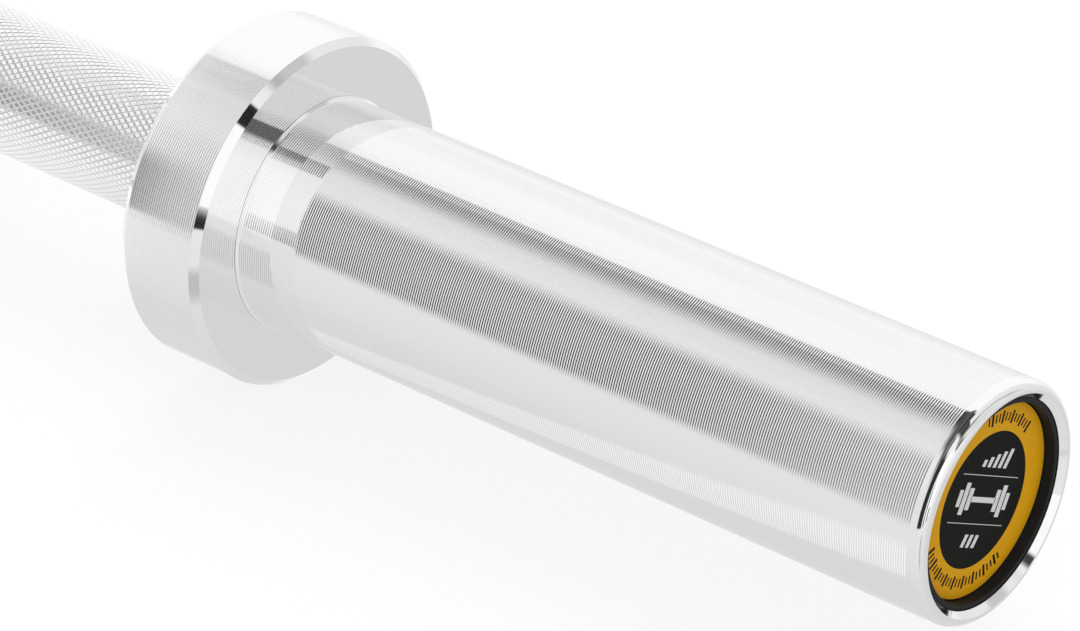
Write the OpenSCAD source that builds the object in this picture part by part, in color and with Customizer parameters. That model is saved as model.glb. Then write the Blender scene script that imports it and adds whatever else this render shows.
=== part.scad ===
// Olympic dumbbell bar with two sleeves that turn on needle bearings.
// The bar lies along X with its middle at the origin. Each end is drawn once,
// along +X, and the left end is the same end turned half a turn about Z.
// In the profiles the first coordinate is a radius and the second runs along
// the bar, away from its middle.

/* [Grip] */
// Diameter over the knurl of the grip
grip_d = 29.8; // [28:0.1:32]
// Length of the grip that shows between the two collars
grip_l = 117; // [90:1:180]
// Chamfer on the two shoulders of the grip
grip_chamfer = 0.6; // [0.2:0.1:1]
// Length that each shoulder of the grip reaches into its collar
shoulder_in = 1.9; // [1.2:0.1:4]

/* [Sleeve] */
// Outside diameter of the sleeves, which plates slide onto
sleeve_d = 50; // [48:0.1:52]
// Wall of the sleeve's tube between the bearing seats
tube_wall = 5; // [4:0.1:7]
// Wall of the sleeve's mouth, which the end cap is pressed into
mouth_wall = 3.5; // [3.4:0.1:5]
// Length of sleeve that takes plates, from the collar's face to the end
load_l = 170.5; // [130:0.5:260]
// Radius of the rounded outer edge at the sleeve's end
end_round = 2.4; // [1:0.1:2.5]
// Radius of the rounded inner edge at the sleeve's mouth
mouth_round = 0.9; // [0.4:0.1:1]
// Depth of the label's face below the sleeve's end
label_depth = 3.7; // [2:0.1:6]

/* [Collar] */
// Outside diameter of the collar that stops the plates
collar_d = 75.5; // [70:0.5:90]
// Thickness of the collar along the bar
collar_t = 21; // [19:0.5:30]
// Chamfer on the collar's front edge
collar_front_chamfer = 1.5; // [0.5:0.1:3]
// Width across the radius of the chamfer on the collar's rear edge
collar_rear_chamfer = 1.65; // [0.5:0.05:3]
// Length along the bar of the chamfer on the collar's rear edge
collar_rear_chamfer_l = 2.05; // [0.5:0.05:3]
// Bevel at the front of the collar's bore, round the sleeve
neck_bevel = 1.1; // [0.3:0.05:1.5]
// Distance from the collar's face to the sleeve's full diameter
neck_gap = 0.3; // [0.2:0.1:1]
// Broken edge where the sleeve's full diameter starts
neck_edge = 0.3; // [0.1:0.1:0.6]
// Thickness of the web that carries the thrust from the shaft's shoulder
web_t = 2.5; // [2:0.1:4]
// Step in radius from the sleeve's full diameter down to its pressed spigot
spigot_step = 0.3; // [0.3:0.05:1]
// Chamfer that leads the spigot into the collar and the cap into the mouth
lead_in = 0.5; // [0.2:0.1:0.8]

/* [Shaft ends] */
// Diameter of the ground journals that the needles roll on
journal_d = 25; // [23:0.5:26]
// Chamfer on the ends of the shaft
journal_chamfer = 1; // [0.5:0.1:1.5]
// Diameter of the turned-down waist between a sleeve's two bearings
waist_d = 22; // [19:0.5:22.5]
// Length of journal that is left on the waist's side of each bearing
journal_spare = 2; // [1:0.5:6]
// Length of shaft beyond the groove of the retaining ring
tail_l = 2.2; // [1.8:0.1:2.4]
// Diameter of the centre drilling in the ends of the shaft
centre_d = 3.2; // [2:0.1:5]
// Depth of the straight part of the centre drilling
centre_l = 4; // [3:0.5:8]
// Diameter of the wide end of the centre drilling's cone
centre_mouth_d = 6.6; // [6:0.1:9]
// Angle of the centre drilling's cone
centre_angle = 60; // [50:1:90]

/* [Bearings] */
// Diameter of the space that a needle fills between journal and cup
needle_d = 2.5; // [2:0.1:2.7]
// Number of needles in one bearing
needle_count = 20; // [12:1:22]
// Wall of the drawn cup
cup_wall = 1; // [0.8:0.1:1.4]
// Length of a bearing
bearing_l = 20; // [14:1:24]
// Radius of the drawn cup's outer corners
cup_round = 0.8; // [0.3:0.1:1]
// Gap of the cup's two lips to the journal
lip_rise = 0.8; // [0.5:0.1:1]
// Width of the end rings of the cage
cage_ring_w = 1.4; // [1:0.1:2]
// Width of the grease seal along the bar
seal_w = 4; // [3:0.5:5]
// Thickness of the seal's outer band and web
seal_band = 1.2; // [0.8:0.1:1.4]
// Thickness of the seal's lip
seal_lip = 0.9; // [0.5:0.1:1.1]
// Distance of the lip's end from the inner end of the seal's band
seal_lip_recess = 1; // [0.5:0.1:1.5]
// Gap along the bar between the seal and the inner bearing
seal_space = 0.4; // [0.3:0.1:1]
// Length of seat that is left beyond each bearing
seat_spare = 1; // [0.5:0.5:4]
// Chamfer on the bearing seats, where they meet the relieved bore
seat_chamfer = 1.5; // [0.5:0.1:2]
// Gap of the cage to the journal inside it and to the cup round it
cage_gap = 0.45; // [0.3:0.05:0.6]
// Gap of the cage to the cup's lips, and of a needle to its pocket's ends
cage_play = 0.3; // [0.2:0.05:0.6]
// Radius of the rounded ends of a needle
needle_round = 0.5; // [0.2:0.1:0.8]

/* [Thrust parts] */
// Thickness of the bronze thrust washers
washer_t = 1.5; // [1:0.1:2]
// Thickness of the retaining ring
ring_t = 1.2; // [1:0.1:1.5]
// Depth of the retaining ring's groove in the journal
ring_groove = 0.55; // [0.3:0.05:0.8]
// Radial width of the retaining ring opposite its gap
ring_w = 4.4; // [3:0.1:4.6]
// Radial width of the retaining ring beside its gap
ring_tip_w = 2.4; // [1.8:0.1:2.8]
// Diameter of the plier holes in the retaining ring's ears
ring_hole_d = 2; // [1.2:0.1:2.2]
// Width of metal round a plier hole
ear_wall = 1.1; // [0.8:0.1:1.5]
// Width of metal between a plier hole and the retaining ring's bore
ear_bridge = 0.5; // [0.4:0.1:1]
// Broken edge of the thrust washers
washer_edge = 0.25; // [0.1:0.05:0.4]

/* [End cap and label] */
// Height of the end cap along the bar
cap_h = 3.5; // [3:0.1:4]
// Thickness of the end cap's front plate
cap_plate = 1.5; // [1:0.1:2]
// Width of the end cap's rim, which is pressed into the mouth
cap_rim = 2; // [1.5:0.1:3]
// Width of the ledge in the mouth that the end cap seats on
cap_ledge = 2; // [1:0.1:2.4]
// Height of the end cap's raised border over the label's seat
border_h = 2.6; // [1:0.1:3]
// Width across the radius of the end cap's raised border
border_w = 1.2; // [0.8:0.1:1.8]
// Radius of the border's rounded edges
border_round = 0.3; // [0.1:0.1:0.4]
// Thickness of the label
label_t = 0.3; // [0.2:0.05:0.6]
// Gap between the label and the end cap's border
label_margin = 0.3; // [0.1:0.1:1.5]
// Space between the shaft's end and the end cap
cap_space = 1.2; // [0.5:0.1:4]

/* [Clearances] */
// Radial running gap of a needle to the journal, the cup and its pocket
run_gap = 0.03; // [0.02:0.01:0.08]
// Radial running gap of the seal's lip and of the thrust washers on the journal
slide_gap = 0.08; // [0.05:0.01:0.1]
// Gap along the bar on each side of a thrust washer
face_gap = 0.1; // [0.05:0.05:0.2]
// Radial gap between the grip's shoulder and the collar
shoulder_gap = 0.35; // [0.2:0.05:0.6]
// Radial gap of still parts that pass each other
pass_gap = 0.3; // [0.2:0.05:0.5]

/* [Hidden] */
$fn = 96;
needle_faces = 32;
hole_faces = 24;
eps = 0.01;

chrome = [0.86, 0.87, 0.88];
knurled_steel = [0.74, 0.75, 0.76];
bronze = [0.78, 0.57, 0.28];
dark_steel = [0.35, 0.36, 0.38];
cap_black = [0.09, 0.09, 0.10];
cup_steel = [0.62, 0.63, 0.66];
cage_steel = [0.50, 0.47, 0.42];
seal_rubber = [0.10, 0.10, 0.11];
label_colour = [0.75, 0.55, 0.07];

// Radii
grip_r = grip_d / 2;
sleeve_r = sleeve_d / 2;
collar_r = collar_d / 2;
journal_r = journal_d / 2;
relief_r = sleeve_r - tube_wall;
mouth_r = sleeve_r - mouth_wall;
spigot_r = sleeve_r - spigot_step;
cup_track_r = journal_r + needle_d;
seat_r = cup_track_r + cup_wall;
lip_r = journal_r + lip_rise;
needle_r = needle_d / 2 - run_gap;
needle_circle_r = journal_r + needle_d / 2;
ledge_r = mouth_r - cap_ledge;
border_r = mouth_r - border_w;
label_r = border_r - label_margin;

// Places along the bar, from its middle outwards
collar_rear = grip_l / 2;
collar_front = collar_rear + collar_t;
sleeve_end = collar_front + load_l;
shoulder_x = collar_rear + shoulder_in;
inner_washer_x = shoulder_x + face_gap;
web_x = inner_washer_x + washer_t + face_gap;
spigot_x = web_x + web_t;
sleeve_body_x = collar_front + neck_gap;
seal_x = spigot_x;
inner_bearing_x = seal_x + seal_w + seal_space;
inner_seat_end = inner_bearing_x + bearing_l + seat_spare;

label_face = sleeve_end - label_depth;
cap_face = label_face - label_t;
cap_x = cap_face - cap_h;
shaft_end = cap_x - cap_space;
groove_x = shaft_end - tail_l - ring_t;
outer_washer_x = groove_x - face_gap - washer_t;
outer_seat_end = outer_washer_x - face_gap;
outer_bearing_x = outer_seat_end - seat_spare - bearing_l;
outer_seat_start = outer_bearing_x - seat_spare;

// Cage of a bearing
cage_inner_r = journal_r + cage_gap;
cage_outer_r = cup_track_r - cage_gap;
cage_l = bearing_l - 2 * (cup_wall + cage_play);
pocket_l = cage_l - 2 * cage_ring_w;
pocket_w = 2 * (needle_r + run_gap);
needle_l = pocket_l - cage_play;

// Retaining ring
groove_r = journal_r - ring_groove;
ear_r = ring_hole_d / 2 + ear_wall;
ear_turn = 16;
ring_gap_turn = 9;
ear_place = groove_r + ring_hole_d / 2 + ear_bridge;

// Turns a profile of radius and length about the bar's axis
module revolve() {
    rotate([0, 90, 0])
        rotate_extrude($fn = $fn)
            children();
}

// Draws one end of the bar: 1 is the right end and -1 is the left end
module at_end(side) {
    rotate([0, 0, side > 0 ? 0 : 180])
        children();
}

// A ring profile from r0 to r1 and from x0 to x1
module band(r0, r1, x0, x1) {
    translate([r0, x0])
        square([r1 - r0, x1 - x0]);
}

// What a rounding takes off a corner at [r, x]. The solid lies towards
// [dr, dx], each of which is 1 or -1.
module rounding(r, x, radius, dr, dx) {
    translate([r, x])
        scale_sign(dr, dx)
            difference() {
                translate([-eps, -eps])
                    square(radius + eps);
                translate([radius, radius])
                    circle(r = radius);
            }
}

// What a chamfer takes off a corner at [r, x], a across and b along
module chamfer(r, x, a, b, dr, dx) {
    translate([r, x])
        scale_sign(dr, dx)
            polygon([
                [-eps, -eps],
                [a + a / b * eps, -eps],
                [-eps, b + b / a * eps]
            ]);
}

// Mirrors a corner's cutter into the quarter where the solid lies
module scale_sign(dr, dx) {
    mirror([dr < 0 ? 1 : 0, 0])
        mirror([0, dx < 0 ? 1 : 0])
            children();
}

// The knurled grip, its shoulders and the two journals, turned from one bar
module shaft() {
    color(knurled_steel)
        difference() {
            union() {
                revolve()
                    difference() {
                        band(0, grip_r, -shoulder_x, shoulder_x);
                        chamfer(grip_r, shoulder_x, grip_chamfer, grip_chamfer, -1, -1);
                        chamfer(grip_r, -shoulder_x, grip_chamfer, grip_chamfer, -1, 1);
                    }
                for (side = [-1, 1])
                    at_end(side)
                        revolve()
                            journal_profile();
            }
            for (side = [-1, 1])
                at_end(side)
                    revolve()
                        centre_profile();
        }
}

// One journal with its groove for the retaining ring
module journal_profile() {
    difference() {
        band(0, journal_r, 0, shaft_end);
        waist_profile();
        band(groove_r, journal_r + eps, groove_x, groove_x + ring_t);
        chamfer(journal_r, shaft_end, journal_chamfer, journal_chamfer, -1, -1);
    }
}

// What is turned off between the two bearings, with sloping ends
module waist_profile() {
    waist_r = waist_d / 2;
    slope = journal_r - waist_r;
    from_x = inner_bearing_x + bearing_l + journal_spare;
    to_x = outer_bearing_x - journal_spare;
    polygon([
        [waist_r, from_x + slope],
        [waist_r, to_x - slope],
        [journal_r, to_x],
        [journal_r + eps, to_x + eps],
        [journal_r + eps, from_x - eps],
        [journal_r, from_x]
    ]);
}

// Centre drilling: a straight hole and the cone that a lathe centre seats in
module centre_profile() {
    cone_l = (centre_mouth_d - centre_d) / 2 / tan(centre_angle / 2);
    band(0, centre_d / 2, shaft_end - cone_l - centre_l, shaft_end);
    polygon([
        [0, shaft_end - cone_l],
        [centre_d / 2, shaft_end - cone_l],
        [centre_mouth_d / 2, shaft_end],
        [centre_mouth_d / 2, shaft_end + eps],
        [0, shaft_end + eps]
    ]);
}

// The sleeve: bearing seats at both ends, a relieved bore between them, a
// stepped mouth for the end cap and a spigot for the collar. The spigot's end
// seats on the collar's web, so the full diameter starts clear of the collar's
// face and a plate lies flat on it.
module sleeve() {
    color(chrome)
        revolve()
            difference() {
                union() {
                    band(0, spigot_r, spigot_x, sleeve_body_x + eps);
                    band(0, sleeve_r, sleeve_body_x, sleeve_end);
                }
                band(-eps, seat_r, spigot_x - eps, outer_seat_end + eps);
                band(0, relief_r, inner_seat_end, outer_seat_start);
                band(-eps, ledge_r, outer_seat_end, cap_x + eps);
                band(-eps, mouth_r, cap_x, sleeve_end + eps);
                chamfer(sleeve_r, sleeve_body_x, neck_edge, neck_edge, -1, 1);
                rounding(sleeve_r, sleeve_end, end_round, -1, -1);
                rounding(mouth_r, sleeve_end, mouth_round, 1, -1);
                chamfer(spigot_r, spigot_x, lead_in, 2 * lead_in, -1, 1);
                chamfer(seat_r, inner_seat_end, seat_chamfer, seat_chamfer, 1, -1);
                chamfer(seat_r, outer_seat_start, seat_chamfer, seat_chamfer, 1, 1);
            }
}

// The collar: a ring with a web that the shaft's shoulder bears on
module collar() {
    color(chrome)
        revolve()
            difference() {
                band(0, collar_r, collar_rear, collar_front);
                band(-eps, grip_r + shoulder_gap, collar_rear - eps, web_x);
                band(-eps, journal_r + pass_gap, web_x - eps, spigot_x + eps);
                band(-eps, spigot_r, spigot_x, collar_front + eps);
                chamfer(spigot_r, collar_front, neck_bevel, neck_bevel, 1, -1);
                chamfer(collar_r, collar_front, collar_front_chamfer, collar_front_chamfer, -1, -1);
                chamfer(collar_r, collar_rear, collar_rear_chamfer, collar_rear_chamfer_l, -1, 1);
                chamfer(grip_r + shoulder_gap, collar_rear, lead_in, lead_in, 1, 1);
            }
}

// The end cap: a plate with a rim behind it, pressed into the mouth against
// the ledge, and a raised border in front that the label lies in
module end_cap() {
    border_top = cap_face + border_h;
    color(cap_black)
        revolve()
            difference() {
                union() {
                    band(0, mouth_r, cap_x, cap_face);
                    band(border_r, mouth_r, cap_x, border_top);
                }
                band(-eps, mouth_r - cap_rim, cap_x - eps, cap_face - cap_plate);
                chamfer(mouth_r, cap_x, lead_in, lead_in, -1, 1);
                rounding(mouth_r, border_top, border_round, -1, -1);
                rounding(border_r, border_top, border_round, 1, -1);
            }
}

// The round label in the end cap's border
module end_label() {
    color(label_colour)
        revolve()
            band(0, label_r, cap_face, label_face);
}

// The grease seal: an outer band, a thin web and a lip over the journal
module grease_seal() {
    bore_r = journal_r + slide_gap;
    lip_end = seal_x + seal_w - seal_lip_recess;
    color(seal_rubber)
        revolve()
            difference() {
                union() {
                    band(seat_r - seal_band, seat_r, seal_x, seal_x + seal_w);
                    band(bore_r, seat_r, seal_x, seal_x + seal_band);
                    band(bore_r, bore_r + seal_lip, seal_x, lip_end);
                }
                chamfer(bore_r + seal_lip, lip_end, seal_lip / 2, seal_lip, -1, -1);
                chamfer(seat_r, seal_x + seal_w, seal_band / 4, seal_band / 2, -1, -1);
            }
}

// A thrust washer from x0 outwards, with broken edges
module washer(outer_r, x0) {
    color(bronze)
        revolve()
            difference() {
                band(journal_r + slide_gap, outer_r, x0, x0 + washer_t);
                chamfer(outer_r, x0, washer_edge, washer_edge, -1, 1);
                chamfer(outer_r, x0 + washer_t, washer_edge, washer_edge, -1, -1);
            }
}

module inner_washer() {
    washer(grip_r, inner_washer_x);
}

module outer_washer() {
    washer(ledge_r - pass_gap, outer_washer_x);
}

// The drawn cup of a bearing that starts at x0, with its two turned-in lips
module bearing_cup(x0) {
    color(cup_steel)
        revolve()
            difference() {
                band(lip_r, seat_r, x0, x0 + bearing_l);
                band(lip_r - eps, cup_track_r, x0 + cup_wall, x0 + bearing_l - cup_wall);
                rounding(seat_r, x0, cup_round, -1, 1);
                rounding(seat_r, x0 + bearing_l, cup_round, -1, -1);
            }
}

// The cage of a bearing, with one pocket for each needle
module bearing_cage(x0) {
    cage_x = x0 + (bearing_l - cage_l) / 2;
    color(cage_steel)
        difference() {
            revolve()
                band(cage_inner_r, cage_outer_r, cage_x, cage_x + cage_l);
            for (i = [0 : needle_count - 1])
                rotate([i * 360 / needle_count, 0, 0])
                    translate([cage_x + cage_ring_w, -pocket_w / 2, journal_r])
                        cube([pocket_l, pocket_w, needle_d]);
        }
}

// The needles of a bearing, round ended, one in the middle of each pocket
module bearing_needles(x0) {
    needle_x = x0 + (bearing_l - needle_l) / 2;
    color(cup_steel)
        for (i = [0 : needle_count - 1])
            rotate([i * 360 / needle_count, 0, 0])
                translate([0, 0, needle_circle_r])
                    revolve($fn = needle_faces)
                        difference() {
                            band(0, needle_r, needle_x, needle_x + needle_l);
                            rounding(needle_r, needle_x, needle_round, -1, 1);
                            rounding(needle_r, needle_x + needle_l, needle_round, -1, -1);
                        }
}

// The retaining ring: an open ring that is widest opposite its gap, with two
// ears that have holes for pliers
module retaining_ring() {
    outer_r = groove_r + (ring_w + ring_tip_w) / 2;
    shift = (ring_w - ring_tip_w) / 2;
    color(dark_steel)
        translate([groove_x, 0, 0])
            rotate([90, 0, 90])
                linear_extrude(ring_t)
                    difference() {
                        union() {
                            translate([0, -shift])
                                circle(r = outer_r);
                            for (turn = [-ear_turn, ear_turn])
                                rotate(turn)
                                    translate([0, ear_place])
                                        circle(r = ear_r);
                        }
                        circle(r = groove_r);
                        for (turn = [-ear_turn, ear_turn])
                            rotate(turn)
                                translate([0, ear_place])
                                    circle(d = ring_hole_d, $fn = hole_faces);
                        ring_gap();
                    }
}

// The wedge that opens the retaining ring between its ears
module ring_gap() {
    reach = journal_d;
    polygon([
        [0, 0],
        [reach * sin(ring_gap_turn), reach * cos(ring_gap_turn)],
        [-reach * sin(ring_gap_turn), reach * cos(ring_gap_turn)]
    ]);
}

// The pieces of each end, in their places
module sleeve_left() {
    at_end(-1) sleeve();
}
module sleeve_right() {
    at_end(1) sleeve();
}
module collar_left() {
    at_end(-1) collar();
}
module collar_right() {
    at_end(1) collar();
}
module end_cap_left() {
    at_end(-1) end_cap();
}
module end_cap_right() {
    at_end(1) end_cap();
}
module end_label_left() {
    at_end(-1) end_label();
}
module end_label_right() {
    at_end(1) end_label();
}
module grease_seal_left() {
    at_end(-1) grease_seal();
}
module grease_seal_right() {
    at_end(1) grease_seal();
}
module inner_washer_left() {
    at_end(-1) inner_washer();
}
module inner_washer_right() {
    at_end(1) inner_washer();
}
module inner_cup_left() {
    at_end(-1) bearing_cup(inner_bearing_x);
}
module inner_cup_right() {
    at_end(1) bearing_cup(inner_bearing_x);
}
module inner_cage_left() {
    at_end(-1) bearing_cage(inner_bearing_x);
}
module inner_cage_right() {
    at_end(1) bearing_cage(inner_bearing_x);
}
module inner_needles_left() {
    at_end(-1) bearing_needles(inner_bearing_x);
}
module inner_needles_right() {
    at_end(1) bearing_needles(inner_bearing_x);
}
module outer_cup_left() {
    at_end(-1) bearing_cup(outer_bearing_x);
}
module outer_cup_right() {
    at_end(1) bearing_cup(outer_bearing_x);
}
module outer_cage_left() {
    at_end(-1) bearing_cage(outer_bearing_x);
}
module outer_cage_right() {
    at_end(1) bearing_cage(outer_bearing_x);
}
module outer_needles_left() {
    at_end(-1) bearing_needles(outer_bearing_x);
}
module outer_needles_right() {
    at_end(1) bearing_needles(outer_bearing_x);
}
module outer_washer_left() {
    at_end(-1) outer_washer();
}
module outer_washer_right() {
    at_end(1) outer_washer();
}
module retaining_ring_left() {
    at_end(-1) retaining_ring();
}
module retaining_ring_right() {
    at_end(1) retaining_ring();
}

shaft();
sleeve_left();
sleeve_right();
collar_left();
collar_right();
end_cap_left();
end_cap_right();
end_label_left();
end_label_right();
grease_seal_left();
grease_seal_right();
inner_washer_left();
inner_washer_right();
inner_cup_left();
inner_cup_right();
inner_cage_left();
inner_cage_right();
inner_needles_left();
inner_needles_right();
outer_cup_left();
outer_cup_right();
outer_cage_left();
outer_cage_right();
outer_needles_left();
outer_needles_right();
outer_washer_left();
outer_washer_right();
retaining_ring_left();
retaining_ring_right();
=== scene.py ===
"""Looks of an olympic dumbbell bar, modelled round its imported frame.

Lengths are in metres, as in the frame: the bar lies along X with its middle
at the origin, and everything that is turned is turned about X.
"""

import math

import bmesh
import bpy
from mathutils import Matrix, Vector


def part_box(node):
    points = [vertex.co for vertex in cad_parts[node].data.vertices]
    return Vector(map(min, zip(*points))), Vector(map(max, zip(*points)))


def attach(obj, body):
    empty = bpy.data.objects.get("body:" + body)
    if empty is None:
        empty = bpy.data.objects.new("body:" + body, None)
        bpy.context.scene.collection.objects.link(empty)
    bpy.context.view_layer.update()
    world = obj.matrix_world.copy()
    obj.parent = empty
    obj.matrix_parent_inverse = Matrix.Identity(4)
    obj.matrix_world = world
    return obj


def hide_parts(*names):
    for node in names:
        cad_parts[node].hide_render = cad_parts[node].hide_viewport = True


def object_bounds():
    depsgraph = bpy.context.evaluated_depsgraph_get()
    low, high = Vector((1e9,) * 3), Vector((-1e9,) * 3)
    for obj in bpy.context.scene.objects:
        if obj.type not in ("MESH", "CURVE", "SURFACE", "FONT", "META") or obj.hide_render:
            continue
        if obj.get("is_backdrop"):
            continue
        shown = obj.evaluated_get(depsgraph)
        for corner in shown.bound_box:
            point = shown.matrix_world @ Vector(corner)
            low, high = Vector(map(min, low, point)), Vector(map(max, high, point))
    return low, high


bl_info = {
    "name": "Olympic dumbbell bar",
    "version": (1, 0, 0),
    "blender": (4, 5, 0),
    "location": "View3D > Sidebar > Dumbbell bar",
    "description": "Models the grip, sleeves, collars and labels of a dumbbell bar",
    "category": "Mesh",
}

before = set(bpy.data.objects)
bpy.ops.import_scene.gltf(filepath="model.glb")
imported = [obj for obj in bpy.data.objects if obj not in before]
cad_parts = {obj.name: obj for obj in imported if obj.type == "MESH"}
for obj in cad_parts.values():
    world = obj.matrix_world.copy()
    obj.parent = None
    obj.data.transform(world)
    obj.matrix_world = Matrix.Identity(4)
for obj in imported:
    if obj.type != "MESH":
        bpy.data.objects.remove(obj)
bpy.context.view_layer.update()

MM = 0.001
MERGE_REACH = 0.001 * MM
FULL_TURN = 360.0
AXIS = (0.0, 0.0, 0.0)
SIDES = ("right", "left")


def span(node):
    """Where a turned CAD node begins and ends along the bar, and its outer radius."""
    low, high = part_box(node)
    return low.x, high.x, high.z


SLEEVE_START, SLEEVE_END, SLEEVE_R = span("sleeve_right")
COLLAR_REAR, COLLAR_FRONT, COLLAR_R = span("collar_right")
CAP_START, _, MOUTH_R = span("end_cap_right")
CAP_FACE, LABEL_FACE, LABEL_R = span("end_label_right")
_, SHAFT_END, GRIP_R = span("shaft")
_, INNER_CUP_END, SEAT_R = span("inner_cup_right")
RING_START, RING_END, _ = span("retaining_ring_right")
OUTER_CUP_START = span("outer_cup_right")[0]
INNER_WASHER_START = span("inner_washer_right")[0]
OUTER_WASHER_START = span("outer_washer_right")[0]

# Sizes that no node's box gives and that more than one piece keeps to.
FACE_GAP = 0.1 * MM
SPIGOT_STEP = 0.3 * MM
LEAD_IN = 0.5 * MM
JOURNAL_R = 12.5 * MM
SPIGOT_R = SLEEVE_R - SPIGOT_STEP
SHOULDER = INNER_WASHER_START - FACE_GAP


class BarSizes(bpy.types.PropertyGroup):
    """Sizes of the turned and rolled textures, and how far round the label's print sits."""

    groove_pitch: bpy.props.FloatProperty(
        name="Groove pitch", description="Distance from one turned groove to the next",
        default=0.572 * MM, precision=6, unit="LENGTH")
    groove_slope: bpy.props.FloatProperty(
        name="Groove slope", description="Slope of the long flank of a groove",
        default=math.radians(8), subtype="ANGLE", unit="ROTATION")
    groove_drop: bpy.props.FloatProperty(
        name="Groove drop", description="Length along the bar of a groove's steep flank",
        default=0.03 * MM, precision=6, unit="LENGTH")
    sleeve_groove_rise: bpy.props.FloatProperty(
        name="Sleeve groove rise", description="Length of the long flank of a sleeve's groove",
        default=0.30 * MM, precision=6, unit="LENGTH")
    collar_groove_rise: bpy.props.FloatProperty(
        name="Collar groove rise", description="Length of the long flank of a collar's groove",
        default=0.075 * MM, precision=6, unit="LENGTH")
    knurl_starts: bpy.props.IntProperty(
        name="Knurl starts", description="Number of diamonds in one ring of the knurl",
        default=64, min=12, max=120)
    knurl_angle: bpy.props.FloatProperty(
        name="Knurl angle", description="Angle of the knurl's lines to the bar's axis",
        default=math.radians(30), subtype="ANGLE", unit="ROTATION")
    knurl_depth: bpy.props.FloatProperty(
        name="Knurl depth", description="Height of the knurl's diamonds above their valleys",
        default=0.075 * MM, precision=6, unit="LENGTH")
    label_turn: bpy.props.FloatProperty(
        name="Label turn", description="Turn of the label's print about the bar's axis",
        default=math.radians(-29), subtype="ANGLE", unit="ROTATION")


class BarColours(bpy.types.PropertyGroup):
    """Colours of the finishes."""

    chrome: bpy.props.FloatVectorProperty(
        name="Chrome", description="Colour of the plated sleeves and collars",
        default=(0.93, 0.935, 0.94), subtype="COLOR", size=3, min=0, max=1)
    bore: bpy.props.FloatVectorProperty(
        name="Bore", description="Colour of the bare steel inside the sleeves and collars",
        default=(0.10, 0.10, 0.105), subtype="COLOR", size=3, min=0, max=1)
    grip: bpy.props.FloatVectorProperty(
        name="Grip", description="Colour of the plated knurl",
        default=(0.99, 0.99, 0.99), subtype="COLOR", size=3, min=0, max=1)
    label_ring: bpy.props.FloatVectorProperty(
        name="Label ring", description="Colour of the label's outer ring",
        default=(0.60, 0.30, 0.006), subtype="COLOR", size=3, min=0, max=1)
    label_disc: bpy.props.FloatVectorProperty(
        name="Label disc", description="Colour of the label's inner disc",
        default=(0.006, 0.006, 0.005), subtype="COLOR", size=3, min=0, max=1)
    label_print: bpy.props.FloatVectorProperty(
        name="Label print", description="Colour of the marks on the label's disc",
        default=(0.60, 0.60, 0.60), subtype="COLOR", size=3, min=0, max=1)


def sizes():
    return bpy.context.scene.bar_sizes


def colours():
    return bpy.context.scene.bar_colours


class Value:
    """A shader socket that takes part in sums: each operator adds its Math node."""

    def __init__(self, socket):
        self.socket = socket

    def math(self, operation, first, second=0.0):
        return Shader.of(self.socket).node("Math", {"operation": operation}, {0: first, 1: second})

    def __add__(self, other):
        return self.math("ADD", self, other)

    def __radd__(self, other):
        return self.math("ADD", other, self)

    def __sub__(self, other):
        return self.math("SUBTRACT", self, other)

    def __rsub__(self, other):
        return self.math("SUBTRACT", other, self)

    def __mul__(self, other):
        return self.math("MULTIPLY", self, other)

    def __rmul__(self, other):
        return self.math("MULTIPLY", other, self)

    def __neg__(self):
        return self.math("MULTIPLY", self, -1.0)


class Shader:
    """The node tree of a material or of the world."""

    def __init__(self, tree):
        self.tree = tree

    @classmethod
    def of(cls, socket):
        return cls(socket.id_data)

    def node(self, kind, settings=None, sockets=None, output=0):
        """Adds a node with these settings and with these values or links on its sockets.

        A socket goes by its name, or by its number where the node has several of that name.
        """
        made = self.tree.nodes.new("ShaderNode" + kind)
        for name, value in (settings or {}).items():
            if name == "stops":
                self.set_stops(made.color_ramp, value)
            else:
                setattr(made, name, value)
        for name, value in (sockets or {}).items():
            if isinstance(value, Value):
                self.tree.links.new(value.socket, made.inputs[name])
            else:
                made.inputs[name].default_value = value
        return Value(made.outputs[output]) if made.outputs else None

    @staticmethod
    def set_stops(ramp, stops):
        ramp.elements[0].position, ramp.elements[-1].position = stops[0][0], stops[-1][0]
        for place, _ in stops[1:-1]:
            ramp.elements.new(place)
        for element, (_, shade) in zip(ramp.elements, stops):
            element.color = (*shade, 1.0)

    def step(self, value, start, end):
        """0 before start, 1 after end and smooth in between."""
        return self.node(
            "MapRange", {"interpolation_type": "SMOOTHSTEP"},
            {"Value": value, "From Min": start, "From Max": end, "To Min": 0.0, "To Max": 1.0})

    def mix(self, factor, first, second):
        """Mixes two colours."""
        return self.node(
            "Mix", {"data_type": "RGBA", "clamp_factor": True},
            {0: factor, 6: first, 7: second}, output=2)

    def noise(self, vector, scale, detail, roughness):
        return self.node(
            "TexNoise", None,
            {"Vector": vector, "Scale": scale, "Detail": detail, "Roughness": roughness})


def rgba(colour, shade=1.0):
    """A colour with its alpha, darkened by the shade."""
    return (*(channel * shade for channel in colour), 1.0)


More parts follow.
